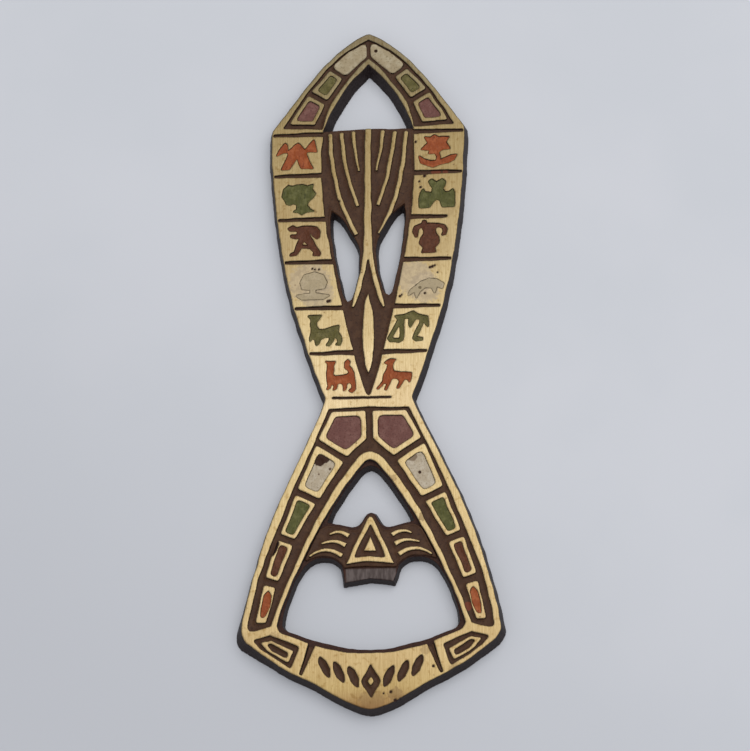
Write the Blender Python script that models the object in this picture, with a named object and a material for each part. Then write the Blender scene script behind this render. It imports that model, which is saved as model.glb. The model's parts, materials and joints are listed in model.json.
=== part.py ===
"""Souvenir bottle opener: one flat brass casting whose lowered grounds are filled with dark
lacquer and whose cells and pictograms are filled with coloured enamel.

The opener lies on its back on Z = 0, its pointed handle end towards +Y, with the origin under
the middle of its outline. Outlines are in millimetres as seen from the front. A shape that is
the same on both sides is given by its right half, from the top of the axis to the bottom.
"""

import math

import bmesh
import bpy
from mathutils import Matrix, Vector

MM = 0.001
OBJECT_NAME = "souvenir_bottle_opener"

# Heights above the back, in millimetres
FACE = 3.5
GROUND_FLOOR = 2.45
LACQUER_BOTTOM = 2.55
LACQUER_TOP = 2.9
POCKET_FLOOR = 2.6
ENAMEL_BOTTOM = 2.7
ENAMEL_TOP = 3.2
FULL_ENAMEL_TOP = 3.45
OVERCUT = 0.3

# Widths, in millimetres
FIT = 0.06  # a fill lies this far inside its outline, and its recess the same outside
OUTER_DRAFT = 0.75  # how much wider the casting is at its back, on each side
CURVE_STEPS = 2
CORNER_STEPS = 2

# Outer edge of the brushed face
FACE_EDGE = (
    [(0, 74.5), (1.2, 74.1), (4.7, 71.8), (9.2, 67.6), (13.4, 62.3), (17.2, 57.0), (20.5, 52.2)],
    [(20.5, 52.2), (20.6, 48.0), (20.1, 40.0), (19.2, 31.0), (17.8, 21.5), (15.9, 12.5),
     (13.0, 3.0), (11.0, -3.2), (9.0, -8.5)],
    [(9.0, -8.5), (9.7, -10.8), (12.3, -16.6), (16.4, -25.6), (19.7, -33.2), (22.5, -41.5),
     (24.8, -50.0), (26.2, -56.6), (26.2, -58.8), (25.2, -60.5)],
    [(25.2, -60.5), (18.6, -65.4), (11.0, -69.4), (5.0, -72.9), (1.8, -74.3), (0, -74.6)],
)

# Windows: the clear opening at the back, and how much wider each side is at the face
UPPER_WINDOW = (
    [(0, 65.6), (1.3, 64.2), (3.1, 62.2), (5.3, 58.7), (6.9, 55.9), (8.0, 53.1)],
    [(8.0, 53.1), (0, 53.4)],
)
UPPER_DRAFT = 1.25
SIDE_WINDOW = (
    [(7.4, 34.0), (6.6, 33.3), (5.4, 32.0), (4.0, 29.4), (2.6, 26.9), (2.15, 24.2),
     (2.4, 20.7), (3.2, 17.0), (3.9, 15.0), (4.6, 15.2), (5.3, 18.0), (6.2, 22.0),
     (7.1, 27.5), (7.5, 31.5), (7.4, 34.0)],
)
SIDE_DRAFT = 0.65
LEFT_WINDOW_DROP = 1.2  # the left one sits this much lower
TRIANGLE_WINDOW = (
    [(0, -23.6), (0.9, -23.9), (2.0, -24.9), (4.5, -28.4), (6.9, -32.2), (8.1, -34.7)],
    [(8.1, -34.7), (5.6, -35.2), (3.8, -35.6), (2.7, -35.3), (1.9, -34.2), (1.1, -33.0),
     (0, -32.6)],
)
TRIANGLE_DRAFT = 0.9
CAP_OPENING = (
    [(0, -47.6), (4.95, -48.4)],
    [(4.95, -48.4), (6.3, -44.6)],
    [(6.3, -44.6), (7.8, -43.4), (9.7, -43.1), (11.6, -43.5), (13.2, -44.7), (14.5, -46.6),
     (15.6, -49.0), (16.6, -51.6), (17.3, -54.3), (17.6, -56.6)],
    [(17.6, -56.6), (16.9, -57.5), (14.9, -58.2), (12.1, -59.3), (8.8, -60.3), (4.4, -61.3),
     (0, -61.7)],
)
CAP_DRAFT = 0.65

# The worn lip that hooks under a crown cap: a sloping step below the bridge
LIP_HALF_WIDTH = 5.1
LIP_TOP_Y = -44.95
LIP_FRONT_Y = -49.5
LIP_TOP_Z = 2.6
LIP_SLOPE = math.radians(5)

# Handle arch: the lacquered channel, and its cells from the point downwards
ARCH_CHANNEL = (
    [(0, 73.1), (4.5, 70.6), (8.7, 66.7), (12.9, 61.4), (15.6, 57.3), (18.3, 52.8)],
    [(18.3, 52.8), (9.7, 52.4)],
    [(9.7, 52.4), (9.35, 54.6), (8.2, 58.2), (5.2, 62.7), (2.4, 66.5), (0, 68.7)],
)
ARCH_CELLS = {
    "cream": [(0.45, 72.5), (4.3, 70.2), (7.8, 67.0), (5.1, 64.8), (0.5, 69.1)],
    "olive": [(8.3, 66.2), (12.5, 61.3), (9.0, 59.1), (5.6, 64.1)],
    "maroon": [(13.1, 60.4), (17.2, 53.7), (11.5, 53.4), (9.4, 58.2)],
}

# Arms: heights of the grooves between the six panels, and the fan field that they run into
PANEL_GROOVES = (51.2, 41.7, 31.6, 21.9, 11.5, 1.4)
PANEL_BOTTOM = -8.3
GROOVE_HALF_WIDTH = 0.52
GROOVE_TIP_HALF_WIDTH = 0.28
GROOVE_TIP_MARGINS = {"right": (0.2, 0.2, 2.4, 0.2, 0.6, 0.2), "left": (0.2,) * 6}
FIELD_TOP = [(0, 53.3), (8.6, 53.3)]
FIELD_SIDE = [(9.6, 51.6), (9.9, 46.0), (9.75, 40.0), (9.1, 32.0), (7.5, 22.0), (5.4, 11.5),
              (3.0, 1.3), (1.6, -4.0), (0.5, -7.6)]
FIELD_TIP = (0, -8.05)

# Fan relief: a stem that parts into two legs, three pairs of blades and a spindle leaf
FAN_STEM = (
    [(0, 52.7), (0.7, 52.7)],
    [(0.7, 52.7), (0.72, 40.0), (0.82, 30.0), (0.98, 26.0), (1.1, 22.8), (1.8, 19.0), (2.5, 16.0),
     (3.5, 11.7)],
    [(3.5, 11.7), (3.1, 11.5), (1.85, 14.3), (0.9, 18.2), (0, 22.6)],
)
FAN_BLADES = (
    [(8.1, 51.2), (7.8, 46.5), (7.1, 41.6), (6.0, 36.4), (4.2, 31.6), (2.45, 27.9)],
    [(5.7, 51.3), (5.15, 46.5), (4.3, 41.8), (3.2, 37.6), (2.05, 34.4)],
    [(3.15, 51.6), (2.7, 47.0), (1.85, 42.4)],
)
BLADE_WIDTH = 0.95
BLADE_TIP_WIDTHS = (0.9, 0.7, 0.35)
SPINDLE = ([(0, 14.5), (0.75, 12.0), (1.15, 8.0), (1.2, 4.5), (1.0, 1.0), (0.55, -1.8),
            (0, -3.1)],)

# Waist groove
WAIST_GROOVE = [(-7.7, -8.3), (-7.7, -8.7), (-3.0, -8.8), (4.7, -8.75), (4.7, -8.4), (-3.0, -8.35)]

# Lower loop: the lacquered channel and its cells from the waist downwards
LOOP_CHANNEL = (
    [(0, -10.6), (8.3, -10.9)],
    [(8.3, -10.9), (11.3, -17.8), (15.4, -27.0), (19.5, -37.6), (22.9, -47.0), (25.0, -57.2)],
    [(25.0, -57.2), (24.6, -58.0), (23.0, -57.8), (20.3, -57.0)],
    [(20.3, -57.0), (18.5, -51.6), (16.2, -46.2), (13.5, -39.8), (10.2, -33.1), (6.1, -26.3),
     (2.75, -21.9), (1.2, -20.6), (0, -20.3)],
)
LOOP_CELLS = {
    "maroon": [(7.75, -11.5), (10.7, -17.5), (4.75, -21.4), (0.65, -17.5), (0.65, -11.4)],
    "cream": [(11.2, -18.6), (15.0, -28.1), (10.5, -30.3), (5.4, -22.4)],
    "green": [(15.4, -29.3), (18.5, -37.6), (15.5, -38.9), (11.2, -31.3)],
    "brown": [(19.1, -38.9), (21.6, -46.8), (18.8, -47.7), (15.9, -40.1)],
    "orange": [(21.8, -48.3), (23.5, -56.3), (21.3, -56.4), (19.3, -49.0)],
}
# The lowest cells of the loop have slender enamel in a ring that is wider at its ends
LAST_POCKET = [(20.8, -49.4), (21.7, -50.6), (22.3, -53.2), (22.4, -55.2), (21.6, -55.0),
               (20.6, -52.9), (20.25, -50.7)]

# How wide the ring of each cell is, and how round its inside corners are
RINGS = {
    "arch": {"cream": (0.35, 0.45), "olive": (0.95, 0.45), "maroon": (0.95, 0.45)},
    "loop": {"maroon": (1.2, 0.9), "cream": (1.2, 0.8), "green": (0.88, 0.45),
             "brown": (0.88, 0.45), "orange": (0.88, 0.45)},
}
CELL_CORNER = 0.5
OVERFILLED = ("arch", "cream")

# The field inside the brass rim of the loop, with the grooves that end the base bar
RIM_FIELD = (
    [(0, -22.0), (0.9, -22.3), (1.9, -23.3), (4.7, -27.0), (8.2, -32.5), (11.4, -38.1),
     (14.1, -43.8), (16.7, -49.6), (18.3, -54.0), (19.1, -57.0)],
    [(19.1, -57.0), (18.5, -58.2), (17.2, -58.9), (14.8, -59.8), (12.6, -60.7)],
    [(12.6, -60.7), (14.5, -67.1)],
    [(14.5, -67.1), (14.0, -67.3)],
    [(14.0, -67.3), (11.3, -61.2)],
    [(11.3, -61.2), (9.4, -61.8), (5.0, -62.7), (0, -63.0)],
)
BAR_DIVIDER = [(12.5, -61.3), (14.4, -67.0), (14.05, -67.1), (11.5, -61.7)]

# Bridge: its lacquered ground and the brass lines that stand on it
BRIDGE_GROUND = (
    [(0, -33.7), (0.9, -34.4), (2.2, -36.5), (3.6, -37.0), (5.8, -36.4), (8.7, -35.9)],
    [(8.7, -35.9), (10.4, -36.8), (12.0, -40.0), (13.5, -43.3)],
    [(13.5, -43.3), (11.8, -42.7), (9.6, -42.35), (7.6, -42.7), (5.9, -44.0), (5.3, -44.8)],
    [(5.3, -44.9), (2.4, -44.75), (0, -44.6)],
)
BRIDGE_TRIANGLE = (
    [(0, -34.4), (0.6, -34.8), (2.7, -39.4), (4.95, -44.4)],
    [(4.95, -44.4), (2.4, -44.0), (0, -43.8)],
)
TRIANGLE_INSIDE = ([(0, -36.0), (1.6, -39.2), (3.2, -43.0)], [(3.2, -43.0), (0, -42.7)])
SMALL_TRIANGLE = ([(0, -38.5), (1.25, -41.6)], [(1.25, -41.6), (0, -41.7)])
DASHES = (
    [(8.4, -37.9), (7.4, -37.5), (6.2, -37.45), (5.2, -37.8), (4.4, -38.3)],
    [(10.0, -39.9), (8.8, -39.5), (7.4, -39.4), (6.1, -39.7), (5.0, -40.3)],
    [(12.5, -42.5), (10.9, -41.6), (9.2, -41.2), (7.4, -41.5), (5.8, -42.5)],
)
DASH_WIDTH = 1.05
DASH_TIP_WIDTH = 0.4

# Base bar: an eye at each end, and a row of leaves about a lozenge between the grooves
EYE = [(23.9, -59.9), (20.4, -58.9), (14.5, -61.5), (16.2, -65.9), (22.4, -61.7)]
EYE_RING = [(22.5, -60.3), (20.2, -59.9), (15.6, -62.4), (16.8, -64.8), (21.0, -62.2)]
EYE_SLOT = [(21.1, -60.75), (20.2, -60.6), (16.75, -62.7), (17.1, -63.8), (20.0, -62.15)]
EYE_CORNER = 0.35
LOZENGE = ([(0, -65.3), (0.9, -67.0), (1.9, -68.8), (0.9, -70.6), (0, -72.2)],)
LOZENGE_EYE = ([(0, -67.9), (0.65, -68.8), (0, -69.7)],)
LEAF = [(0, 2.9), (0.75, 1.2), (0.8, -0.8), (0, -2.9), (-0.8, -0.8), (-0.75, 1.2)]
LEAF_PLACES = ((3.55, -67.9), (6.45, -66.9), (9.35, -65.8))
LEAF_LEAN = math.radians(24)

# Pictograms about the middle of a panel, from the top of each arm to the waist
TENTS = [(-4.5, -0.1), (-3.7, 1.6), (-2.6, 3), (-2.1, 2.4), (-1.8, 1.1), (-1, 1.8), (-0.4, 2.5),
         (0.3, 2.9), (0.9, 2.4), (1.6, 1.4), (2, 1.6), (2.5, 2.4), (3.6, 3.7), (4.4, 0.6),
         (3.5, 0.8), (2.2, 0.8), (2, 0.3), (3.6, -3.1), (0.9, -2.9), (0, -0.6), (-1.5, -3.2),
         (-3.3, -3.2), (-1.8, 0.3), (-2, 0.7), (-3, 0.6)]
TREE = [(-3.6, 0.4), (-3.2, 2.1), (-2.3, 2.9), (-1.4, 2.7), (-0.5, 3), (0.8, 3.1), (1.8, 2.7),
        (3.1, 3.1), (2.8, 1.9), (3.6, 0.9), (2.9, -0.2), (2.1, -0.8), (1.7, -1.7), (2.4, -2.6),
        (3.5, -3.3), (1.7, -3.3), (0.5, -3.9), (-0.3, -3.3), (-1.5, -3.2), (-0.5, -2.6),
        (-0.4, -1.6), (-1.2, -1.2), (-2, -1.6), (-2.7, -1.3), (-3, -0.5)]
CARRIER = [(-3.5, 3), (-2.4, 3.6), (-1.6, 3.1), (-0.4, 3.4), (1.2, 3.4), (2.6, 3.1), (3.4, 2.1),
           (3.3, 0.8), (2.6, 0.4), (1.7, 1.1), (1, 2), (1.4, 0.8), (1.7, 0.4), (2.4, -1.2),
           (3.5, -2.9), (3.3, -3.5), (1.7, -3.3), (2, -2.6), (1.2, -1.7), (-0.6, -1.5),
           (-1.7, -3.2), (-3.1, -3.4), (-2.9, -2.8), (-2.2, -2.5), (-1.5, -0.5), (-1, 0.6),
           (-1.7, 0.5), (-2.9, 0.9), (-3, 1.5), (-1.9, 1.4), (-1.4, 1.9), (-1.7, 2.3),
           (-3.1, 2.4)]
CARRIER_GAP = [(0, 0), (0.8, -1), (-0.5, -0.9)]
BOAT = [(-3.6, -2.2), (-2.3, -3.2), (2.3, -3.2), (3.6, -2.4), (0.6, -1.9), (0.5, -1.1),
        (2.5, -0.8), (3.0, 0.6), (2.2, 2.2), (0.3, 2.9), (-1.8, 2.3), (-2.7, 0.7), (-2.3, -0.8),
        (-0.5, -1.1), (-0.5, -1.9)]
LLAMA = [(-3.6, 3.4), (-2.8, 2.6), (-3, 1.5), (-2.8, -0.2), (-3.1, -1.4), (-3.2, -2.5),
         (-2.5, -1.8), (-2, -2), (-1.8, -3.3), (-1.2, -2.9), (-0.7, -1.9), (0.3, -1.4),
         (1.1, -1.6), (0.9, -2.4), (0.2, -3.3), (1, -3.4), (1.8, -2.4), (2.1, -1.5), (2.7, -1.9),
         (2.8, -2.6), (2.2, -3.3), (3.3, -3.4), (3.7, -2.3), (3.5, -1.3), (2.9, -0.4), (3.1, 1.1),
         (2, 0.9), (0.6, 0.5), (-0.5, 0.2), (-1.3, 0.4), (-1.8, 1.1), (-1.8, 1.9), (-1.1, 2.7),
         (-0.5, 3.5), (-2.2, 3.5)]
FOX = [(-3, 3.2), (-2.3, 2.7), (-2.2, 1.9), (-2.4, 0.4), (-2.4, -1.1), (-2.1, -2.3), (-2.5, -3.4),
       (-1.7, -2.9), (-1.4, -2.1), (-1, -2.1), (-0.9, -2.7), (-1.2, -3.5), (-0.4, -3), (-0.2, -2),
       (0.4, -1.8), (0.9, -2.1), (1, -2.9), (0.8, -3.7), (1.6, -3), (1.8, -2), (2.4, -1.7),
       (2.8, -2.2), (2.8, -2.9), (2, -3.5), (2.9, -3.9), (3.6, -3.3), (3.7, -2), (3.4, -0.5),
       (3.3, 0.4), (2.9, 1.4), (2.3, 2.1), (2.6, 2.8), (2.1, 3.4), (1.4, 2.8), (1.3, 1.6), (2, 1),
       (2.3, 0.5), (1.9, 0.1), (1, -0.1), (-0.5, -0.2), (-1, 0.1), (-0.9, 1.1), (-1, 2.1),
       (-0.5, 3), (-1.7, 3)]
FLOWER = [(-3.3, 3.5), (-1.9, 3.3), (-1, 3.9), (-0.1, 3.3), (2.3, 3.3), (1.5, 2.1), (2.4, 0.5),
          (0.7, 0.4), (0, -0.2), (0.3, -1.3), (0.1, -1.9), (1.3, -1.5), (2.5, -0.9), (4, -0.8),
          (3.3, -2), (1.9, -2.7), (0.2, -3.1), (-1.2, -3.7), (-2.5, -3.2), (-3.9, -2.6),
          (-4.4, -0.8), (-3.2, -1.7), (-1.7, -2.2), (-0.6, -2.1), (-0.5, -1.1), (-0.9, -0.4),
          (-2.3, -0.6), (-2, 0.3), (-3.9, 0.5), (-2.4, 2.1)]
GATE = [(-1.7, 3.0), (-1.0, 3.5), (0, 2.8), (1.2, 3.5), (1.9, 2.9), (1.7, 2.0), (1.2, 1.2),
        (1.7, 0.4), (2.6, 0.4), (3.4, 1.1), (3.8, 0.2), (3.7, -3.0), (1.1, -3.0), (0.7, -1.6),
        (0, -1.2), (-0.6, -1.7), (-1.5, -3.0), (-3.8, -3.1), (-3.9, -1.2), (-3.5, 0.3),
        (-2.9, 1.4), (-2.5, 0.4), (-1.2, 0.3), (-0.9, 1.3), (-1.4, 2.1)]
JUG = [(-1.9, 3.9), (-1.2, 3.9), (-1.1, 3.2), (1.3, 3.2), (2.8, 2.8), (3.3, 1.8), (3.0, 0.6),
       (2.0, 0.4), (2.4, 1.2), (2.3, 2.0), (1.4, 2.4), (0.7, 1.9), (0.9, 1.0), (1.5, 0.0),
       (1.5, -1.2), (0.7, -2.3), (1.0, -3.4), (-2.3, -3.4), (-1.8, -2.3), (-2.6, -1.2),
       (-2.3, 0.0), (-1.7, 0.7), (-1.6, 1.5), (-2.1, 2.3), (-2.8, 1.8), (-3.0, 0.2),
       (-3.5, 0.2), (-4.0, 1.4), (-3.6, 2.5), (-2.1, 3.2)]
HARE = [(-2.0, -1.0), (-0.6, 0.2), (1.1, 0.8), (2.7, 0.6), (4.3, -0.5), (4.0, -1.6),
        (2.9, -1.1), (2.3, -2.6), (1.7, -1.3), (0.3, -1.2), (-0.9, -2.2), (-1.5, -3.6),
        (-2.0, -2.2), (-3.5, -3.1), (-2.8, -1.7)]
SCALES = [(0.3, 3.9), (1.3, 3.2), (3.4, 2.6), (3.4, 0), (2.7, 1), (2.4, 1.4), (1.5, -0.9),
          (0.9, -1.9), (2.3, -2.1), (2.2, -2.7), (0.8, -2.8), (0, -2.3), (0.3, -1.4), (1.6, 1.2),
          (1.7, 2), (0.9, 2.2), (0.3, 1.5), (-0.4, -0.1), (-0.7, 1), (-0.7, 2.2), (-1.7, 2.3),
          (-1.7, -0.8), (-2, -2.5), (-2.8, -3), (-4.7, -2.8), (-5.2, -2.1), (-3.8, 0.3), (-3, 2),
          (-3.7, 2.9), (-1.7, 3.1)]
SCALES_GAP = [(-2.9, 0.4), (-4.2, -1.8), (-3.8, -2.1), (-2.7, -2.1), (-2.5, -1.1), (-2.5, 0.5)]
DEER = [(-3.1, 2.4), (-2.5, 2.9), (-1.8, 3.3), (-0.5, 3.2), (-1.1, 2.4), (-1.3, 1.5), (-1, 0.6),
        (0, 0.4), (1.4, 0.3), (2.7, 0.1), (2.6, -1), (2.2, -2.1), (1.8, -1.4), (1.2, -1.2),
        (0.8, -1.9), (-0.1, -3.4), (-0.5, -3.3), (0.1, -1.8), (-0.2, -1.2), (-0.8, -1),
        (-1.5, -1.2), (-1.9, -2.2), (-2.6, -3.6), (-3.1, -3.6), (-2.5, -2.3), (-3, -2),
        (-4.2, -3.3), (-4.8, -3.4), (-4, -2.5), (-3.4, -1.6), (-3.2, -0.2), (-2.6, 0.9),
        (-2.3, 2)]

# Colours in linear light, each with its roughness
BRASS = ((0.62, 0.46, 0.20), 0.38)
LACQUER = ((0.035, 0.014, 0.011), 0.4)
ENAMELS = {
    "cream": ((0.42, 0.34, 0.25), 0.5),
    "olive": ((0.075, 0.075, 0.02), 0.35),
    "maroon": ((0.11, 0.035, 0.03), 0.35),
    "green": ((0.06, 0.09, 0.03), 0.35),
    "brown": ((0.08, 0.025, 0.013), 0.35),
    "orange": ((0.36, 0.07, 0.025), 0.4),
}
PICTOGRAMS = {
    "left": (("tents", TENTS, "orange"), ("tree", TREE, "green"), ("carrier", CARRIER, "brown"),
             ("boat", BOAT, "cream"), ("llama", LLAMA, "olive"), ("fox", FOX, "orange")),
    "right": (("flower", FLOWER, "orange"), ("gate", GATE, "green"), ("jug", JUG, "brown"),
              ("hare", HARE, "cream"), ("scales", SCALES, "olive"), ("deer", DEER, "orange")),
}
PICTOGRAM_GAPS = {"carrier": CARRIER_GAP, "scales": SCALES_GAP}


def new_collection(name):
    collection = bpy.data.collections.new(name)
    bpy.context.scene.collection.children.link(collection)
    return collection


# Outlines


def flowing(*runs, steps=CURVE_STEPS):
    """Points on a smooth curve through each run of points. Runs meet in a corner."""
    points = []
    for run in runs:
        around = [Vector(p) for p in (run[0], *run, run[-1])]
        for a, b, c, d in zip(around, around[1:], around[2:], around[3:]):
            for k in range(steps):
                t = k / steps
                points.append(0.5 * (2 * b + (c - a) * t + (2 * a - 5 * b + 4 * c - d) * t**2
                                     + (3 * b - a - 3 * c + d) * t**3))
    points.append(Vector(runs[-1][-1]))
    return points


def flipped(outline):
    return [Vector((-x, y)) for x, y in outline]


def mirrored(*runs):
    """The closed outline whose right half runs down the given runs from axis to axis."""
    half = flowing(*runs)
    return half + flipped(half[-2:0:-1])


def rounded(corners, radius, steps=CORNER_STEPS):
    """The polygon with each corner replaced by an arc, smaller where a side is short."""
    corners = [Vector(p) for p in corners]
    points = []
    for before, corner, after in zip(corners[-1:] + corners, corners, corners[1:] + corners[:1]):
        back, ahead = (before - corner).normalized(), (after - corner).normalized()
        half = back.angle(ahead) / 2
        reach = min(radius / math.tan(half), 0.45 * min((before - corner).length,
                                                        (after - corner).length))
        for k in range(steps + 1):
            t = k / steps
            points.append(corner + back * reach * (1 - t) ** 2 + ahead * reach * t**2)
    return points


def is_clockwise(outline):
    ahead = outline[1:] + outline[:1]
    return sum(a.x * b.y - b.x * a.y for a, b in zip(outline, ahead)) < 0


def grown(outline, distance):
    """The outline moved outwards by distance, or inwards where it is negative."""
    outline = [Vector(p) for p in outline]
    turn = 1 if is_clockwise(outline) else -1
    points = []
    for before, here, after in zip(outline[-1:] + outline, outline, outline[1:] + outline[:1]):
        into, out = (here - before).normalized(), (after - here).normalized()
        normals = [Vector((-d.y, d.x)) * turn for d in (into, out)]
        mean = (normals[0] + normals[1]).normalized()
        points.append(here + mean * distance / max(mean.dot(normals[0]), 0.5))
    return points


def blade(centre_line, width, tip_width):
    """A strip along a smooth line that narrows evenly, with a rounded thick end."""
    line = flowing(centre_line)
    right, left = [], []
    for i, here in enumerate(line):
        ahead = (line[min(i + 1, len(line) - 1)] - line[max(i - 1, 0)]).normalized()
        side = Vector((ahead.y, -ahead.x)) * (width + (tip_width - width) * i / len(line)) / 2
        right.append(here + side)
        left.append(here - side)
    cap = line[0] + (line[0] - line[1]).normalized() * width * 0.3
    return [cap, *right, *left[::-1]]


def placed(outline, place, turn=0.0):
    rotation = Matrix.Rotation(turn, 2)
    return [rotation @ Vector(p) + Vector(place) for p in outline]


def width_at(side, height):
    """How far the side, given from the top down, lies from the axis at a height."""
    for (x0, y0), (x1, y1) in zip(side, side[1:]):
        if y1 <= height <= y0:
            return x0 + (x1 - x0) * (y0 - height) / (y0 - y1)
    raise ValueError(f"the side doesn't reach {height}")


def fan_field():
    """The fan's ground, with a narrowing groove that runs out between each pair of panels."""
    right = half_field(GROOVE_TIP_MARGINS["right"])
    left = half_field(GROOVE_TIP_MARGINS["left"])
    return right + flipped(left[-2:0:-1])


def half_field(tip_margins):
    edge = flowing(FACE_EDGE[1])
    side = flowing(FIELD_SIDE)
    half = [Vector(p) for p in FIELD_TOP]
    grooves = list(zip(PANEL_GROOVES, tip_margins))
    for point in side:
        while grooves and point.y < grooves[0][0] + GROOVE_HALF_WIDTH:
            height, margin = grooves.pop(0)
            tip = width_at(edge, height) - margin
            high, low = height + GROOVE_HALF_WIDTH, height - GROOVE_HALF_WIDTH
            half += [Vector((width_at([side[0].xy + Vector((0, 2)), *side], high), high)),
                     Vector((tip, height + GROOVE_TIP_HALF_WIDTH)),
                     Vector((tip, height - GROOVE_TIP_HALF_WIDTH)),
                     Vector((width_at(side, low), low))]
        if all(abs(point.y - h) > GROOVE_HALF_WIDTH + 0.15 for h in PANEL_GROOVES):
            half.append(point)
    half.append(Vector(FIELD_TIP))
    return half


def panel_centres():
    """The middle of each panel of the right arm, from the top down."""
    edge, side = flowing(FACE_EDGE[1]), flowing(FIELD_SIDE)
    limits = (*PANEL_GROOVES, PANEL_BOTTOM)
    for high, low in zip(limits, limits[1:]):
        middle = (high + low) / 2
        yield (width_at(edge, middle) + width_at(side, middle)) / 2, middle


# Solids


def prism(name, outlines, low, high, collection, draft=0.0, place=(0, 0)):
    """Outlines raised from low to high; one inside another is a hole or an island. draft is
    how far a wall stands out for each millimetre that it lies below the face."""
    curve = bpy.data.curves.new(name, "CURVE")
    curve.dimensions = "2D"
    curve.fill_mode = "BOTH"
    curve.extrude = (high - low) / 2
    for outline in outlines:
        spline = curve.splines.new("POLY")
        spline.points.add(len(outline) - 1)
        for point, (x, y) in zip(spline.points, outline):
            point.co = (x, y, 0, 1)
        spline.use_cyclic_u = True
    flat = bpy.data.objects.new(name, curve)
    bpy.context.scene.collection.objects.link(flat)
    flat.matrix_world = Matrix.Translation((0, 0, (low + high) / 2))
    bpy.context.view_layer.update()
    mesh = bpy.data.meshes.new_from_object(
        flat.evaluated_get(bpy.context.evaluated_depsgraph_get()))
    mesh.transform(flat.matrix_world)
    bpy.data.objects.remove(flat)
    weld_and_draft(mesh, draft)
    mesh.transform(Matrix.Scale(MM, 4))
    solid = bpy.data.objects.new(name, mesh)
    solid.location = (place[0] * MM, place[1] * MM, 0)
    collection.objects.link(solid)
    return solid


def weld_and_draft(mesh, draft):
    work = bmesh.new()
    work.from_mesh(mesh)
    bmesh.ops.remove_doubles(work, verts=work.verts, dist=0.001)
    bmesh.ops.recalc_face_normals(work, faces=work.faces)
    moves = []
    for vert in work.verts:
        walls = [face.normal for face in vert.link_faces if abs(face.normal.z) < 0.5]
        outward = sum(walls, Vector()).normalized()
        reach = draft * (FACE - vert.co.z) / max(outward.dot(walls[0]), 0.5)
        moves.append(outward * reach)
    for vert, move in zip(work.verts, moves):
        vert.co += move
    work.to_mesh(mesh)
    work.free()


def lip_cutter(collection):
    """A box above the cap lip, tilted so that the lip slopes down towards its front."""
    work = bmesh.new()
    bmesh.ops.create_cube(work, size=1)
    length = LIP_TOP_Y - LIP_FRONT_Y
    size = Matrix.Diagonal((2 * LIP_HALF_WIDTH, length, FACE, 1))
    hinge = Matrix.Translation((0, LIP_TOP_Y, LIP_TOP_Z))
    box = Matrix.Translation((0, -length / 2, FACE / 2)) @ size
    bmesh.ops.transform(work, verts=work.verts,
                        matrix=Matrix.Scale(MM, 4) @ hinge @ Matrix.Rotation(LIP_SLOPE, 4, "X") @ box)
    mesh = bpy.data.meshes.new("lip_cutter")
    work.to_mesh(mesh)
    work.free()
    cutter = bpy.data.objects.new("lip_cutter", mesh)
    collection.objects.link(cutter)
    return cutter


def cut(solid, cutter):
    cutter.hide_render = True
    cutter.display_type = "WIRE"
    modifier = solid.modifiers.new(cutter.name, "BOOLEAN")
    modifier.operation = "DIFFERENCE"
    modifier.solver = "EXACT"
    modifier.object = cutter


def coat(solid, finish, metallic=0.0):
    (red, green, blue), roughness = finish
    material = bpy.data.materials.new(solid.name)
    material.use_nodes = True
    shader = material.node_tree.nodes["Principled BSDF"]
    shader.inputs["Base Color"].default_value = (red, green, blue, 1)
    shader.inputs["Roughness"].default_value = roughness
    shader.inputs["Metallic"].default_value = metallic
    solid.data.materials.append(material)


# The opener


def cells():
    """(name, corners of the brass ring, its pocket, colour, top) of each framed cell."""
    for sign, side in ((1, "right"), (-1, "left")):
        for family, shapes in (("arch", ARCH_CELLS), ("loop", LOOP_CELLS)):
            for colour, corners in shapes.items():
                ring, corner = RINGS[family][colour]
                pocket = LAST_POCKET if colour == "orange" else grown(corners, -ring)
                pocket = rounded([(sign * x, y) for x, y in pocket], corner)
                top = FULL_ENAMEL_TOP if (family, colour) == OVERFILLED else ENAMEL_TOP
                yield (f"enamel_{family}_{colour}_{side}", [(sign * x, y) for x, y in corners],
                       pocket, colour, top)


def add_cells(parts):
    """Adds the enamel of the framed cells, and returns the ring and pocket outlines."""
    rings, pockets = {"arch": [], "loop": []}, []
    for name, corners, pocket, colour, top in cells():
        rings[name.split("_")[1]].append(rounded(corners, CELL_CORNER))
        pockets.append(grown(pocket, FIT))
        coat(prism(name, [grown(pocket, -FIT)], ENAMEL_BOTTOM, top, parts), ENAMELS[colour])
    return rings, pockets


def add_pictograms(parts):
    """Adds the pictograms' enamel, and returns the outlines of their pockets."""
    pockets = []
    for side, sign in (("left", -1), ("right", 1)):
        for (name, shape, colour), (x, y) in zip(PICTOGRAMS[side], panel_centres()):
            gaps = [PICTOGRAM_GAPS[name]] if name in PICTOGRAM_GAPS else []
            place = (sign * x, y)
            top = FULL_ENAMEL_TOP if colour == "cream" else ENAMEL_TOP
            outlines = [grown(shape, -FIT), *(grown(gap, FIT) for gap in gaps)]
            coat(prism(f"enamel_{name}", outlines, ENAMEL_BOTTOM, top, parts, place=place),
                 ENAMELS[colour])
            pockets.append(placed(grown(shape, FIT), place))
            pockets += [placed(grown(gap, -FIT), place) for gap in gaps]
    return pockets


def add_lacquer(parts, name, ground, islands=(), place=(0, 0)):
    outlines = [grown(ground, -FIT), *(grown(island, FIT) for island in islands)]
    coat(prism(f"lacquer_{name}", outlines, LACQUER_BOTTOM, LACQUER_TOP, parts, place=place),
         LACQUER)


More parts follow.
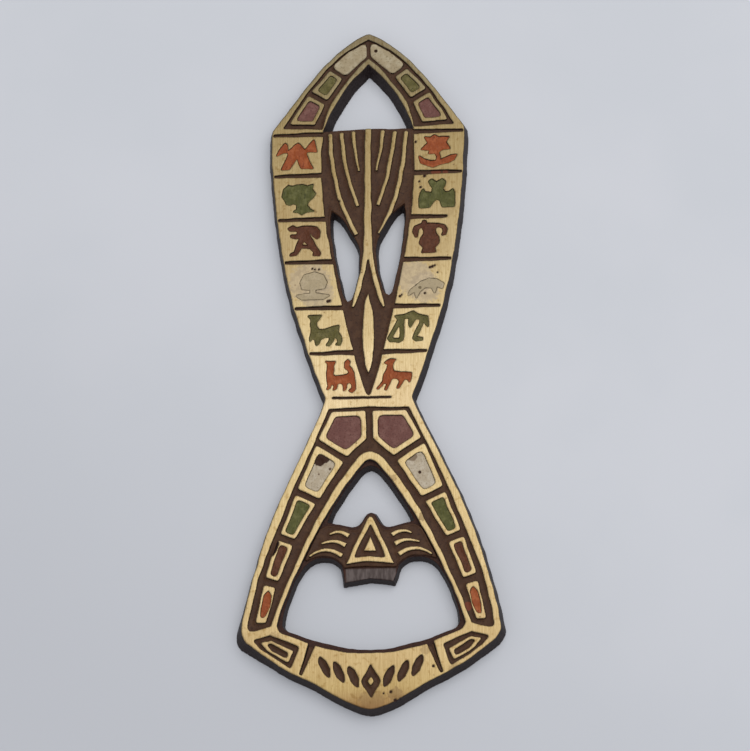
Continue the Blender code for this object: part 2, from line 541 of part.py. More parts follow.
def build():
    for item in list(bpy.data.objects):
        bpy.data.objects.remove(item)
    parts = new_collection(OBJECT_NAME)
    cutters = new_collection("cutters")

    rings, pockets = add_cells(parts)
    pockets += add_pictograms(parts)

    arch, loop = mirrored(*ARCH_CHANNEL), mirrored(*LOOP_CHANNEL)
    add_lacquer(parts, "arch_channel", arch, rings["arch"])
    add_lacquer(parts, "loop_channel", loop, rings["loop"])

    field = fan_field()
    blades = [blade(line, BLADE_WIDTH, tip) for line, tip in zip(FAN_BLADES, BLADE_TIP_WIDTHS)]
    relief = [mirrored(*FAN_STEM), mirrored(*SPINDLE), *blades, *map(flipped, blades)]
    side_window = flowing(*SIDE_WINDOW)[:-1]
    windows = {"upper": (mirrored(*UPPER_WINDOW), UPPER_DRAFT),
               "right": (side_window, SIDE_DRAFT),
               "left": (placed(flipped(side_window), (0, -LEFT_WINDOW_DROP)), SIDE_DRAFT),
               "triangle": (mirrored(*TRIANGLE_WINDOW), TRIANGLE_DRAFT),
               "cap": (mirrored(*CAP_OPENING), CAP_DRAFT)}

    rim_field = mirrored(*RIM_FIELD)
    dashes = [blade(line, DASH_TIP_WIDTH, DASH_WIDTH) for line in DASHES]
    dashes += list(map(flipped, dashes))
    triangle, inside = mirrored(*BRIDGE_TRIANGLE), mirrored(*TRIANGLE_INSIDE)
    small = mirrored(*SMALL_TRIANGLE)
    add_lacquer(parts, "bridge", mirrored(*BRIDGE_GROUND), [triangle, *dashes])
    add_lacquer(parts, "bridge_triangle", inside, [small])

    grounds = [arch, *rings["arch"], loop, *rings["loop"], field, *relief,
               rim_field, triangle, *dashes, inside, small]

    add_lacquer(parts, "waist_groove", WAIST_GROOVE)
    grounds.append(WAIST_GROOVE)
    eye = rounded(EYE, EYE_CORNER)
    eye_ring = rounded(EYE_RING, EYE_CORNER)
    slot = rounded(EYE_SLOT, EYE_CORNER)
    for side, turn in (("right", list), ("left", flipped)):
        add_lacquer(parts, f"eye_{side}", turn(eye), [turn(eye_ring)])
        add_lacquer(parts, f"slot_{side}", turn(slot))
        add_lacquer(parts, f"bar_divider_{side}", turn([Vector(p) for p in BAR_DIVIDER]))
        grounds += [turn(eye), turn(eye_ring), turn(slot)]
        for number, (x, y) in enumerate(LEAF_PLACES, 1):
            sign = 1 if side == "right" else -1
            leaf = placed(rounded(LEAF, 1.0), (0, 0), -sign * LEAF_LEAN)
            add_lacquer(parts, f"leaf_{side}_{number}", leaf, place=(sign * x, y))
            grounds.append(placed(leaf, (sign * x, y)))
    lozenge, lozenge_eye = mirrored(*LOZENGE), mirrored(*LOZENGE_EYE)
    add_lacquer(parts, "lozenge", lozenge, [lozenge_eye])
    grounds += [lozenge, lozenge_eye]

    add_fan_lacquer(parts, cutters, field, relief, windows)

    casting = prism("brass_casting", [mirrored(*FACE_EDGE)], 0, FACE, parts,
                    draft=OUTER_DRAFT / FACE)
    coat(casting, BRASS, metallic=1.0)
    cut(casting, prism("ground_cutter", grounds, GROUND_FLOOR, FACE + OVERCUT, cutters))
    cut(casting, prism("pocket_cutter", pockets, POCKET_FLOOR, FACE + OVERCUT, cutters))
    for name, (outline, draft) in windows.items():
        cut(casting, prism(f"{name}_window_cutter", [grown(outline, draft)], -OVERCUT,
                           FACE + OVERCUT, cutters, draft=-draft / FACE))
    cut(casting, lip_cutter(cutters))


def add_fan_lacquer(parts, cutters, field, relief, windows):
    """The fan's lacquer, which stops short of the side windows and the upper window."""
    outlines = [grown(field, -FIT), *(grown(shape, FIT) for shape in relief)]
    fan = prism("lacquer_fan_field", outlines, LACQUER_BOTTOM, LACQUER_TOP, parts)
    coat(fan, LACQUER)
    for name in ("upper", "right", "left"):
        outline, draft = windows[name]
        margin = draft * LACQUER_TOP / FACE + FIT
        cut(fan, prism(f"{name}_lacquer_cutter", [grown(outline, margin)], 0, FACE, cutters))


build()
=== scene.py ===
import json
import math

import bpy
import numpy as np
from mathutils import Matrix, Vector
from mathutils.bvhtree import BVHTree


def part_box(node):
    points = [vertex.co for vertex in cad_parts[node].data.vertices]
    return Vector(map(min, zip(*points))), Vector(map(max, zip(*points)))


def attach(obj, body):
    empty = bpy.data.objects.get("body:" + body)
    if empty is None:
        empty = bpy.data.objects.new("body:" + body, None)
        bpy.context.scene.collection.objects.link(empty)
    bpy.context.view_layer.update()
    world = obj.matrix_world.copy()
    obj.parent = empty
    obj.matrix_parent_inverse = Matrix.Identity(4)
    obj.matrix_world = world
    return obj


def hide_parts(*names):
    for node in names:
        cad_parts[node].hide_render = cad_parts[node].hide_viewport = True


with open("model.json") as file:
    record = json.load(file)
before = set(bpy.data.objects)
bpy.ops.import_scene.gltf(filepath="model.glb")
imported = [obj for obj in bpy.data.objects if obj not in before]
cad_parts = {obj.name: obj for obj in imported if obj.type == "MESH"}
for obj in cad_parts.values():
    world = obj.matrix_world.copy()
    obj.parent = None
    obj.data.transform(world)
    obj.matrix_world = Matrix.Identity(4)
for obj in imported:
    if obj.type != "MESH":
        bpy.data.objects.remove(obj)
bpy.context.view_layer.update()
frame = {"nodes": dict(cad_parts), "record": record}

# Shapes and places are in millimetres, as seen from the front, and z is the height above the
# back. The camera, light and floor are in metres. Colours are in linear light.
MM = 0.001
FACE = 3.5  # height of the brushed face
SLOTS = {part["node"]: part["material_slot"] for part in frame["record"]["subparts"]}

# Camera: its angles are in degrees, and it looks at the middle of the face
CAMERA_DISTANCE = 0.650
CAMERA_ELEVATION = 70
CAMERA_AZIMUTH = 11
CAMERA_ROLL = -11.9
LENS = 149.8
SENSOR_WIDTH = 36
LENS_SHIFT = (0.00706, -0.02286)

# Floor and light
FLOOR_REACH = 3.0
FLOOR_DROP = 0.00005  # keeps the back and the floor out of one plane
FLOOR_SHADE_FRONT, FLOOR_SHADE_BACK = -120, 20  # over these millimetres the floor's painted shade fades, from dim at the front to bright at the back
# Painted shade: the dim floor colour at the front stands in for the lamp's light falling off.
FLOOR_PAINTED_SHADE = (0.515, 0.53, 0.58)
FLOOR_BRIGHT = ((0.585, 0.606, 0.66), (0.61, 0.626, 0.68))
LAMP_PLACE = (0.30, 0.34, 1.25)
LAMP_SIZE = 1.5
LAMP_POWER = 12.5
LAMP_COLOUR = (1.0, 0.985, 0.955)
SKY_COLOUR = (0.96, 0.98, 1.0, 1)
SKY_STRENGTH = 0.50

# Colour of the brushed face by height, partly tarnish and partly a painted reflection of the overhead
# light: dull at the handle's point, brightest at the waist
BRASS_TONES_AND_SHEEN = (
    (-74.5, (0.23, 0.13, 0.055)), (-70, (0.40, 0.295, 0.135)), (-64, (0.455, 0.34, 0.175)),
    (-56, (0.49, 0.375, 0.20)), (-22, (0.53, 0.415, 0.22)), (-9, (0.59, 0.47, 0.285)),
    (4, (0.545, 0.435, 0.245)), (13, (0.475, 0.375, 0.205)), (24, (0.395, 0.305, 0.165)),
    (37, (0.33, 0.25, 0.125)), (51, (0.30, 0.23, 0.115)), (62, (0.225, 0.185, 0.105)),
    (74, (0.19, 0.155, 0.095)),
)

# Colours of the brass. A pair is what it varies between.
WALLS = ((0.020, 0.014, 0.014), (0.040, 0.030, 0.031))
GROUNDS = ((0.034, 0.013, 0.009), (0.058, 0.024, 0.016))
WORN_LIP = ((0.062, 0.048, 0.045), (0.112, 0.090, 0.086))
BACK = ((0.44, 0.32, 0.15), (0.20, 0.135, 0.07))
BACK_CLOUD = (0.30, 0.21, 0.10)
STAIN = (0.16, 0.10, 0.05)
PORE = (0.12, 0.07, 0.035)
CREAM_SMEAR = ((0.275, 0.22, 0.155), (0.36, 0.29, 0.195))

# Where dark walls turn into the bare face, and the part of the cap lip that is rubbed bare: each
# pair is where a border begins and where it ends
FACE_BORDER = (FACE - 0.12, FACE - 0.05)
LIP_SIDES = (5.3, 4.9)
LIP_FRONT, LIP_BACK = (-48.6, -48.0), (-44.9, -45.3)
LIP_LOW, LIP_HIGH = (1.4, 1.7), (2.9, 2.7)

# Marks on the face. Stains: place, radius, strength. Smears of cream paint: place, radius.
STAINS = (((10.7, -34.7), 0.9, 0.6), ((4.6, -26.2), 0.8, 0.45), ((0.0, -73.0), 2.6, 0.35),
          ((5.0, -71.8), 1.6, 0.5), ((-14.0, 40.0), 1.8, 0.25), ((16.5, 33.0), 1.5, 0.2),
          ((-19.5, -59.8), 1.5, 0.35), ((17.0, -67.0), 1.5, 0.35), ((11.0, -62.6), 1.0, 0.4))
CREAM_SMEARS = (((-12.6, 17.2), 4.6), ((-11.0, 14.6), 3.4), ((9.6, 17.6), 4.0), ((11.5, 15.4), 3.4))

# Marks in the paint: place, radius, colour, strength
RED_MARKS = tuple((place, radius, (0.20, 0.045, 0.02), 0.7) for place, radius in (
    ((19.7, -53.6), 0.9), ((14.3, 41.7), 1.1), ((16.2, 41.7), 0.6)))
POINT_MARKS = (((1.6, 70.3), 0.4, (0.05, 0.025, 0.015), 1.0),)
CREAM_MARKS = (
    ((-10.5, -21.9), 1.3, (0.045, 0.02, 0.012), 1.0), ((-9.4, -21.4), 1.1, (0.045, 0.02, 0.012), 1.0),
    ((-8.3, -23.9), 0.3, (0.09, 0.05, 0.03), 0.9), ((-10.6, -24.9), 0.22, (0.12, 0.07, 0.04), 0.8),
    ((8.7, -21.6), 1.0, (0.16, 0.10, 0.055), 0.8), ((10.2, -25.0), 0.35, (0.06, 0.03, 0.02), 1.0),
    ((12.7, 13.9), 0.35, (0.10, 0.07, 0.03), 0.8), ((10.6, 15.5), 0.35, (0.10, 0.07, 0.03), 0.8),
)

# Pits: x, y, radius, depth. In the casting, the row about (-20, -41) opens a ring to the channel.
POINT_PITS = ((1.6, 70.3, 0.2, 0.5),)
CREAM_PITS = ((10.2, -25.0, 0.2, 0.3), (-10.4, -22.3, 1.0, 0.25))
CASTING_PITS = (
    (10.2, 48.8, 0.17, 0.5), (11.0, 39.7, 0.16, 0.4), (11.2, 38.3, 0.2, 0.4), (12.1, 40.9, 0.22, 0.5),
    (4.9, -72.8, 0.22, 0.5), (5.9, -72.5, 0.16, 0.4), (4.0, -71.1, 0.2, 0.4), (2.5, -71.4, 0.15, 0.3),
    (12.6, -65.9, 0.2, 0.4), (18.4, -64.0, 0.14, 0.3), (-1.5, -39.7, 0.15, 0.4),
    (-19.35, -39.6, 0.45, 0.8), (-19.7, -40.3, 0.5, 0.9), (-20.0, -41.1, 0.5, 0.9),
    (-20.2, -41.8, 0.35, 0.5), (-6.2, 35.6, 0.25, 0.4), (-8.5, 13.0, 0.25, 0.4),
    (-8.1, 13.1, 0.2, 0.3), (13.0, 20.0, 0.2, 0.4), (13.5, 20.2, 0.22, 0.45), (14.0, 20.4, 0.17, 0.3),
    (14.6, 18.8, 0.14, 0.3), (6.6, 13.7, 0.2, 0.4), (7.0, 14.0, 0.17, 0.3), (-11.8, 20.4, 0.17, 0.35),
    (-11.3, 20.2, 0.15, 0.3), (-10.4, 20.2, 0.16, 0.35), (11.9, 14.2, 0.2, 0.3),
)

# Paints: the colour, its lighter clouds, its darker ones, and how the paint's look differs
MATT = {"roughness": (0.4, 0.6), "marks": CREAM_MARKS}
PAINTS = {
    "lacquer": ((0.058, 0.025, 0.012), (0.080, 0.038, 0.019), (0.026, 0.011, 0.007),
                {"scale": 0.5, "roughness": (0.30, 0.48), "marks": RED_MARKS}),
    "enamel_cream": ((0.44, 0.365, 0.265), (0.53, 0.46, 0.36), (0.28, 0.215, 0.14), MATT),
    "worn_cream": ((0.40, 0.32, 0.20), (0.47, 0.38, 0.25), (0.31, 0.25, 0.17), MATT),
    "arch_cream": ((0.35, 0.28, 0.175), (0.43, 0.365, 0.25), (0.22, 0.17, 0.10),
                   {"scale": 0.45, "roughness": (0.35, 0.55), "marks": POINT_MARKS}),
    "enamel_olive": ((0.105, 0.090, 0.026), (0.16, 0.135, 0.05), (0.045, 0.040, 0.014), {}),
    "enamel_maroon": ((0.145, 0.058, 0.048), (0.19, 0.088, 0.073), (0.065, 0.024, 0.019), {}),
    "enamel_green": ((0.078, 0.078, 0.020), (0.135, 0.130, 0.045), (0.034, 0.036, 0.011),
                     {"streaky": 3}),
    "enamel_brown": ((0.088, 0.028, 0.012), (0.125, 0.045, 0.022), (0.038, 0.013, 0.007), {}),
    "enamel_orange": ((0.265, 0.060, 0.016), (0.37, 0.105, 0.036), (0.14, 0.028, 0.010),
                      {"streaky": 2.5}),
}
SPECULAR = 0.12  # of the brass and the paints

# How the outlines stray from true. Waves: length, height, seed of the random draws.
OUTLINE_WAVES = ((5.0, 0.036, 11), (1.9, 0.01125, 21))
LEAN = 0.3  # how far the arms lean to the left
LEAN_FOOT, LEAN_HEAD = (-22, -4), (44, 60)  # heights over which the lean sets in, and dies out
# Places out of true: place, reach, move, and whether only the low part moves
NUDGES = (
    ((-5.3, -48.9), 2.6, (-0.75, -0.15), False), ((0.0, -44.5), 4.5, (-0.22, 0.0), False),
    ((-25.5, -60.5), 4.5, (-0.95, -0.1), True), ((25.5, -60.5), 4.0, (0.25, 0.0), True),
)

# Mesh fineness: the side of a remeshed face, and the passes that soften its edges
CASTING_VOXEL = 0.15
WIDE_POOL_VOXEL, FILL_VOXEL, GROOVE_VOXEL = 0.16, 0.1, 0.07
WIDE_POOL = 15  # a lacquer pool longer than this is a wide one
CASTING_SOFTENING, FILL_SOFTENING = 4, 3

# Surface of the fills
FILL_WAVES = ((1.6, 1.0, 31), (0.6, 0.5, 32))
FILL_FOOT = 0.12  # how much deeper each fill reaches
WALL_REACH, DOME_REACH = 0.28, 0.9  # how far from the walls their pull and the dome's foot reach
SIDE_MARGIN = 0.05  # points this near a fill's bottom stay, and this near its top move in full
PIT_REACH = 0.6  # a pit moves the points that are less than this below its surface


# Camera, floor and light


def add_camera():
    elevation, azimuth = math.radians(CAMERA_ELEVATION), math.radians(CAMERA_AZIMUTH)
    roll = math.radians(CAMERA_ROLL)
    back = Vector((math.sin(azimuth) * math.cos(elevation),
                   -math.cos(azimuth) * math.cos(elevation), math.sin(elevation)))
    right = Vector((math.cos(azimuth), math.sin(azimuth), 0))
    up = back.cross(right)
    side = right * math.cos(roll) + up * math.sin(roll)
    top = up * math.cos(roll) - right * math.sin(roll)
    data = bpy.data.cameras.new("camera")
    data.sensor_fit = "HORIZONTAL"
    data.sensor_width = SENSOR_WIDTH
    data.lens = LENS
    data.shift_x, data.shift_y = LENS_SHIFT
    data.clip_start = 0.01
    camera = bpy.data.objects.new("camera", data)
    bpy.context.scene.collection.objects.link(camera)
    rotation = Matrix((side, top, back)).transposed().to_4x4()
    place = Vector((0, 0, FACE * MM)) + back * CAMERA_DISTANCE
    camera.matrix_world = Matrix.Translation(place) @ rotation
    bpy.context.scene.camera = camera


def add_lamp():
    data = bpy.data.lights.new("overhead", "AREA")
    data.shape = "RECTANGLE"
    data.size = data.size_y = LAMP_SIZE
    data.energy = LAMP_POWER
    data.color = LAMP_COLOUR
    lamp = bpy.data.objects.new("overhead", data)
    bpy.context.scene.collection.objects.link(lamp)
    lamp.location = LAMP_PLACE
    lamp.rotation_euler = (-Vector(LAMP_PLACE)).to_track_quat("-Z", "Y").to_euler()


def add_sky():
    world = bpy.data.worlds.new("studio")
    bpy.context.scene.world = world
    world.use_nodes = True
    background = world.node_tree.nodes["Background"]
    background.inputs["Color"].default_value = SKY_COLOUR
    background.inputs["Strength"].default_value = SKY_STRENGTH
    bpy.context.scene.view_settings.view_transform = "Standard"


def floor_material():
    """Pale paper with faint clouds, and painted shade that makes it a little darker towards the front.
    """
    n = Nodes("floor")
    bright = n.blend(n.ramp(n.noise(scale=0.02, detail=3), (0.35, 0.65)), *FLOOR_BRIGHT)
    # Painted shade: the floor is mixed towards the dim colour on the front left, away from the lamp.
    along = n.math("ADD", n.y, n.product(n.x, 0.6))
    share = n.ramp(along, (FLOOR_SHADE_FRONT, FLOOR_SHADE_BACK))
    n.finish(colour=n.blend(share, FLOOR_PAINTED_SHADE, bright), roughness=0.6)
    return n.material


def add_floor():
    mesh = bpy.data.meshes.new("floor")
    corners = [(x * FLOOR_REACH, y * FLOOR_REACH, 0) for x, y in ((-1, -1), (1, -1), (1, 1), (-1, 1))]
    mesh.from_pydata(corners, [], [(0, 1, 2, 3)])
    mesh.materials.append(floor_material())
    floor = bpy.data.objects.new("floor", mesh)
    floor.location.z = -FLOOR_DROP
    bpy.context.scene.collection.objects.link(floor)


# Materials. Texture coordinates are the part's own, in millimetres.


class Nodes:
    """A material under construction. Its helpers return the output socket of what they add."""

    def __init__(self, name):
        self.material = bpy.data.materials.new(name)
        self.material.use_nodes = True
        self.tree = self.material.node_tree
        self.shader = self.tree.nodes["Principled BSDF"]
        self.place = self.make("Mapping", {"Vector": self.make("TexCoord").outputs["Object"],
                                           "Scale": (1 / MM, 1 / MM, 1 / MM)}).outputs[0]
        self.x, self.y, self.z = self.make("SeparateXYZ", {0: self.place}).outputs
        normal = self.make("NewGeometry").outputs["Normal"]
        self.up = self.make("SeparateXYZ", {0: normal}).outputs[2]

    def put(self, socket, value):
        if isinstance(value, bpy.types.NodeSocket):
            self.tree.links.new(value, socket)
        elif isinstance(value, tuple) and len(value) == 3 and socket.type == "RGBA":
            socket.default_value = (*value, 1)
        else:
            socket.default_value = value

    def make(self, kind, inputs=None, **fields):
        made = self.tree.nodes.new("ShaderNode" + kind)
        for key, value in fields.items():
            setattr(made, key, value)
        for key, value in (inputs or {}).items():
            self.put(made.inputs[key], value)
        return made

    def math(self, operation, *values):
        return self.make("Math", dict(enumerate(values)), operation=operation).outputs[0]

    def product(self, first, *others):
        """The values multiplied together."""
        for other in others:
            first = self.math("MULTIPLY", first, other)
        return first

    def noise(self, scale=1, detail=4, stretch=(1, 1, 1), roughness=0.55, offset=(0, 0, 0), warp=0.0):
        place = self.make("Mapping", {"Vector": self.place, "Location": offset,
                                      "Scale": stretch}).outputs[0]
        return self.make("TexNoise", {"Vector": place, "Scale": scale, "Detail": detail,
                                      "Roughness": roughness, "Distortion": warp}).outputs[0]

    def ramp(self, value, ends):
        """0 at the first end and beyond, 1 at the second."""
        return self.make("MapRange", {"Value": value, "From Min": ends[0], "From Max": ends[1]},
                         interpolation_type="SMOOTHSTEP").outputs[0]

    def level(self, value, low, high):
        """Low where the value is 0, and high where it is 1."""
        return self.make("MapRange", {"Value": value, "To Min": low, "To Max": high}).outputs[0]

    def blend(self, factor, first, second, how="MIX"):
        mix = self.make("Mix", data_type="RGBA", blend_type=how)
        self.put(mix.inputs["Factor"], factor)
        self.put(mix.inputs[6], first)
        self.put(mix.inputs[7], second)
        return mix.outputs[2]

    def scaled(self, factor, colour, times):
        """The colour multiplied by times where factor is 1."""
        return self.blend(factor, colour, times, how="MULTIPLY")

    def tones(self, value, stops):
        """A colour that runs through the stops as value grows."""
        first, last = stops[0][0], stops[-1][0]
        share = self.make("MapRange", {"Value": value, "From Min": first, "From Max": last}).outputs[0]
        ramp = self.make("ValToRGB", {"Fac": share})
        while len(ramp.color_ramp.elements) < len(stops):
            ramp.color_ramp.elements.new(0.5)
        for element, (place, colour) in zip(ramp.color_ramp.elements, stops):
            element.position = (place - first) / (last - first)
            element.color = (*colour, 1)
        return ramp.outputs[0]

    def bump(self, height, depth, below=None):
        """A relief of the given depth in millimetres, on top of the normal below."""
        inputs = {"Height": height, "Distance": depth * MM, "Strength": 1.0}
        if below is not None:
            inputs["Normal"] = below
        return self.make("Bump", inputs).outputs[0]

    def spot(self, place, radius, ragged=0.35):
        """1 within radius of a place on the face, with a ragged edge."""
        at = self.make("CombineXYZ", {0: self.x, 1: self.y}).outputs[0]
        away = self.make("VectorMath", {0: at, 1: (*place, 0)}, operation="DISTANCE").outputs["Value"]
        edge = self.math("SUBTRACT", self.noise(scale=1.6, detail=3, offset=(place[0], 3, 1)), 0.5)
        away = self.math("ADD", away, self.math("MULTIPLY", edge, radius * 2 * ragged))
        return self.ramp(away, (radius * 1.1, radius * 0.85))

    def finish(self, **inputs):
        names = {"colour": "Base Color", "roughness": "Roughness", "metallic": "Metallic",
                 "normal": "Normal", "specular": "Specular IOR Level"}
        for key, value in inputs.items():
            self.put(self.shader.inputs[names[key]], value)


def face_gold(n, streaks, fine, clouds, mottle):
    """Brushed gold whose tone runs with height, partly tarnish and partly painted reflection, with
    stains, smears of cream paint and pores.
    """
    # Painted reflection and tarnish: the gold brightens towards the waist and darkens towards both
    # ends.
    gold = n.tones(n.y, BRASS_TONES_AND_SHEEN)
    gold = n.scaled(n.product(n.ramp(clouds, (0.38, 0.66)), 0.6), gold, (0.84, 0.80, 0.74))
    gold = n.scaled(n.ramp(streaks, (0.48, 0.68)), gold, (1.18, 1.20, 1.25))
    gold = n.scaled(n.ramp(streaks, (0.50, 0.32)), gold, (0.78, 0.74, 0.66))
    gold = n.scaled(n.ramp(fine, (0.54, 0.36)), gold, (0.82, 0.78, 0.70))
    gold = n.scaled(n.ramp(mottle, (0.54, 0.70)), gold, (0.78, 0.72, 0.62))
    for place, radius, strength in STAINS:
        stain = n.product(n.spot(place, radius, ragged=0.9), strength)
        gold = n.blend(stain, gold, STAIN)
    cream = n.blend(n.ramp(mottle, (0.4, 0.6)), *CREAM_SMEAR)
    for place, radius in CREAM_SMEARS:
        gold = n.blend(n.product(n.spot(place, radius, ragged=0.5), 0.75), gold, cream)
    pores = n.make("TexVoronoi", {"Vector": n.place, "Scale": 0.55}).outputs["Distance"]
    pores = n.product(n.ramp(pores, (0.13, 0.07)), n.ramp(mottle, (0.5, 0.58)))
    return n.blend(n.product(pores, 0.7), gold, PORE)


def patina(n, rough):
    """Near black on the walls, and dark brown in the lows."""
    share = n.ramp(rough, (0.35, 0.7))
    return n.blend(n.ramp(n.up, (0.5, 0.85)), n.blend(share, *WALLS), n.blend(share, *GROUNDS))


def back_gold(n, clouds, mottle):
    """Dull, spotted brass."""
    gold = n.blend(n.ramp(mottle, (0.5, 0.72)), *BACK)
    return n.blend(n.ramp(clouds, (0.4, 0.7)), gold, BACK_CLOUD)


def worn_lip(n):
    """Where the cap lip has rubbed bare, and its colour."""
    across = n.ramp(n.math("ABSOLUTE", n.x), LIP_SIDES)
    along = n.product(n.ramp(n.y, LIP_FRONT), n.ramp(n.y, LIP_BACK))
    height = n.product(n.ramp(n.z, LIP_LOW), n.ramp(n.z, LIP_HIGH))
    lip = n.product(across, along, height, n.ramp(n.up, (0.7, 0.9)))
    rubbed = n.noise(stretch=(2.6, 0.35, 1), offset=(8, 1, 3))
    return lip, n.blend(n.ramp(rubbed, (0.36, 0.64)), *WORN_LIP)


def brass_material():
    """Brushed bare brass on the face and back, dark patina in the lows and on the walls."""
    n = Nodes("brass")
    streaks = n.noise(stretch=(9, 0.12, 1), detail=3, roughness=0.7)
    fine = n.noise(stretch=(22, 0.5, 1), detail=2, roughness=0.6, offset=(3, 1, 0))
    clouds = n.noise(scale=0.11, offset=(5, 2, 0))
    mottle = n.noise(scale=0.9, detail=5, offset=(1, 7, 0))
    rough = n.noise(scale=2.2, offset=(4, 4, 4))
    lip, lip_colour = worn_lip(n)

    edge = n.math("ADD", n.z, n.product(n.math("SUBTRACT", rough, 0.5), 0.16))
    face = n.product(n.ramp(edge, FACE_BORDER), n.ramp(n.up, (0.25, 0.6)))
    back = n.ramp(n.up, (-0.7, -0.95))
    bare = n.math("MAXIMUM", face, back)
    colour = n.blend(lip, patina(n, rough), lip_colour)
    colour = n.blend(back, colour, back_gold(n, clouds, mottle))
    colour = n.blend(face, colour, face_gold(n, streaks, fine, clouds, mottle))

    roughness = n.math("ADD", n.product(n.level(streaks, 0.36, 0.56), bare),
                       n.product(n.level(rough, 0.40, 0.62), n.math("SUBTRACT", 1, bare)))
    brushed = n.bump(n.product(n.math("ADD", streaks, n.product(fine, 0.6)), bare), 0.012)
    cast = n.product(n.math("SUBTRACT", 1, face), n.math("SUBTRACT", 1, lip), rough)
    n.finish(colour=colour, metallic=n.math("MAXIMUM", bare, n.product(lip, 0.55)),
             roughness=roughness, normal=n.bump(cast, 0.06, brushed), specular=SPECULAR)
    return n.material


def paint_material(name, base, light, dark, scale=0.8, roughness=(0.25, 0.5), marks=(), streaky=0.0):
    """Hardened paint: the base colour with lighter and darker clouds, and marks in it."""
    n = Nodes(name)
    broad = n.noise(scale=scale, offset=(2, 9, 1))
    small = n.noise(scale=scale * 4, offset=(7, 3, 2), roughness=0.7)
    if streaky:
        brush = n.noise(stretch=(streaky, streaky * 0.25, 1), detail=3, warp=0.6)
        small = n.math("ADD", n.product(small, 0.4), n.product(brush, 0.6))
    colour = n.blend(n.ramp(broad, (0.42, 0.68)), base, light)
    colour = n.blend(n.product(n.ramp(small, (0.48, 0.34)), 0.8), colour, dark)
    colour = n.blend(n.product(n.ramp(small, (0.60, 0.70)), 0.5), colour, light)
    for place, radius, tint, strength in marks:
        colour = n.blend(n.product(n.spot(place, radius), strength), colour, tint)
    n.finish(colour=colour, roughness=n.level(broad, *roughness), normal=n.bump(small, 0.012),
             specular=SPECULAR)
    return n.material


# Shapes


def swells(points, size, seed, count=20):
    """Smooth random values, about 1 in size, whose swells are about size across."""
    draw = np.random.default_rng(seed)
    total = np.zeros(len(points))
    for _ in range(count):
        angle, phase = draw.uniform(0, 2 * math.pi, 2)
        length = size * draw.uniform(0.7, 1.7)
        along = points[:, 0] * math.cos(angle) + points[:, 1] * math.sin(angle)
        total += np.sin(along * (2 * math.pi / length) + phase)
    return total / math.sqrt(count / 2)


def rise(values, start, end):
    """0 up to start, 1 from end on, and smooth in between."""
    share = np.clip((values - start) / (end - start), 0, 1)
    return share * share * (3 - 2 * share)


def wander(points):
    """Moves points sideways a little, as a hand-cut casting pattern wanders."""
    flat = points[:, :2].copy()
    points[:, 0] -= LEAN * rise(flat[:, 1], *LEAN_FOOT) * (1 - rise(flat[:, 1], *LEAN_HEAD))
    for axis in (0, 1):
        for length, height, seed in OUTLINE_WAVES:
            points[:, axis] += height * swells(flat, length, seed + axis)
    for (x, y), reach, move, deep in NUDGES:
        share = np.exp(-((flat[:, 0] - x) ** 2 + (flat[:, 1] - y) ** 2) / reach ** 2)
        if deep:
            share *= np.clip(1 - points[:, 2] / FACE, 0, 1)
        points[:, :2] += share[:, None] * np.array(move)


def remade(mesh, voxel, softening):
    """The mesh remade from small even faces, its edges softened by a number of passes."""
    holder = bpy.data.objects.new("remeshing", mesh)
    bpy.context.scene.collection.objects.link(holder)
    remesh = holder.modifiers.new("remesh", "REMESH")
    remesh.mode = "VOXEL"
    remesh.voxel_size = voxel * MM
    remesh.adaptivity = 0
    soften = holder.modifiers.new("soften", "SMOOTH")
    soften.factor = 0.5
    soften.iterations = softening
    done = bpy.data.meshes.new_from_object(
        holder.evaluated_get(bpy.context.evaluated_depsgraph_get()))
    bpy.data.objects.remove(holder)
    return done


def read_points(mesh):
    points = np.empty(len(mesh.vertices) * 3, np.float32)
    mesh.vertices.foreach_get("co", points)
    return points.reshape(-1, 3).astype(float) / MM


def write_points(mesh, points):
    mesh.vertices.foreach_set("co", (points * MM).astype(np.float32).ravel())
    mesh.update()


def read_normals(mesh):
    normals = np.empty(len(mesh.vertices) * 3, np.float32)
    mesh.vertex_normals.foreach_get("vector", normals)
    return normals.reshape(-1, 3).astype(float)


def wall_distance(node, points):
    """How far each point lies from the node's side walls, seen from above."""
    mesh = frame["nodes"][node].data
    places = [tuple(vert.co / MM) for vert in mesh.vertices]
    walls = [tuple(face.vertices) for face in mesh.polygons if abs(face.normal.z) < 0.5]
    tree = BVHTree.FromPolygons(places, walls)
    middle = (min(p[2] for p in places) + max(p[2] for p in places)) / 2
    return np.array([tree.find_nearest((x, y, middle))[3] for x, y, _ in points])


def sink_pits(points, top, pits):
    """Sinks each pit (x, y, radius, depth) in the surface near the height top."""
    for x, y, radius, depth in pits:
        away = np.hypot(points[:, 0] - x, points[:, 1] - y)
        points[:, 2] -= depth * np.exp(-(away / radius) ** 2) * (points[:, 2] > top - PIT_REACH)


def show(name, mesh, material, node):
    """Puts a finished piece in the scene in place of its CAD node."""
    mesh.name = name
    mesh.materials.clear()
    mesh.materials.append(material)
    mesh.shade_smooth()
    piece = bpy.data.objects.new(name, mesh)
    bpy.context.scene.collection.objects.link(piece)
    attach(piece, "root")
    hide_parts(node)


def add_casting():
    mesh = frame["nodes"]["brass_casting"].data.copy()
    mesh = remade(mesh, CASTING_VOXEL, CASTING_SOFTENING)
    points = read_points(mesh)
    sink_pits(points, FACE, CASTING_PITS)
    points[:, 2] = np.minimum(points[:, 2], FACE)
    wander(points)
    write_points(mesh, points)
    show("opener_casting", mesh, brass_material(), "brass_casting")


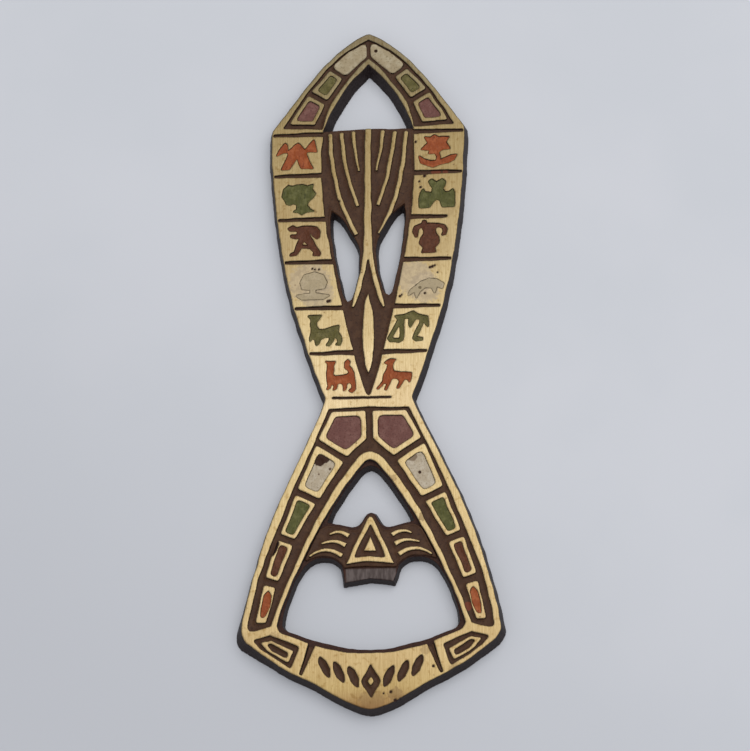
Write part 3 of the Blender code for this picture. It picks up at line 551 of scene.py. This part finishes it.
def add_fill(node, material, voxel=FILL_VOXEL, spread=0.13, lift=0.0, edge_lift=0.1, dome=0.0,
             rough=0.03, pits=()):
    """A fill flowed against the walls around it, which it runs into by spread.

    Its surface stands lift above the CAD's, edge_lift more at the walls and dome more in the
    middle, and rough is the height of its unevenness.
    """
    low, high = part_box(node)
    bottom, top = low.z / MM, high.z / MM
    mesh = frame["nodes"][node].data.copy()
    points = read_points(mesh)
    points[points[:, 2] < (bottom + top) / 2, 2] -= FILL_FOOT
    write_points(mesh, points)
    mesh = remade(mesh, voxel, FILL_SOFTENING)
    points = read_points(mesh)
    points[:, :2] += read_normals(mesh)[:, :2] * spread
    away = wall_distance(node, points)
    surface = lift + edge_lift * np.exp(-away / WALL_REACH) + dome * (1 - np.exp(-away / DOME_REACH))
    for length, height, seed in FILL_WAVES:
        surface += rough * height * swells(points, length, seed)
    points[:, 2] += rise(points[:, 2], bottom + SIDE_MARGIN, top - SIDE_MARGIN) * surface
    sink_pits(points, top, pits)
    wander(points)
    write_points(mesh, points)
    show("fine_" + node, mesh, material, node)


# Paints and fills


def make_paints():
    return {name: paint_material(name.removeprefix("enamel_"), *colours, **look)
            for name, (*colours, look) in PAINTS.items()}


def lacquer_voxel(node):
    low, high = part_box(node)
    if max(high - low) > WIDE_POOL * MM:
        return WIDE_POOL_VOXEL
    return GROOVE_VOXEL if node == "lacquer_waist_groove" else FILL_VOXEL


def add_fills():
    paints = make_paints()
    for node, slot in SLOTS.items():
        if slot == "lacquer":
            add_fill(node, paints[slot], lacquer_voxel(node), edge_lift=0.2, rough=0.012)
        elif node.startswith("enamel_arch_cream"):
            add_fill(node, paints["arch_cream"], spread=0.46, lift=0.11, edge_lift=-0.03, dome=0.08,
                     pits=POINT_PITS)
        elif node in ("enamel_boat", "enamel_hare"):
            add_fill(node, paints["worn_cream"], lift=0.03, edge_lift=0.02)
        elif slot == "enamel_maroon":
            add_fill(node, paints[slot], edge_lift=0.05, dome=0.1, rough=0.02)
        elif slot != "brass":
            add_fill(node, paints[slot], pits=CREAM_PITS)


add_camera()
add_sky()
add_lamp()
add_floor()
add_casting()
add_fills()
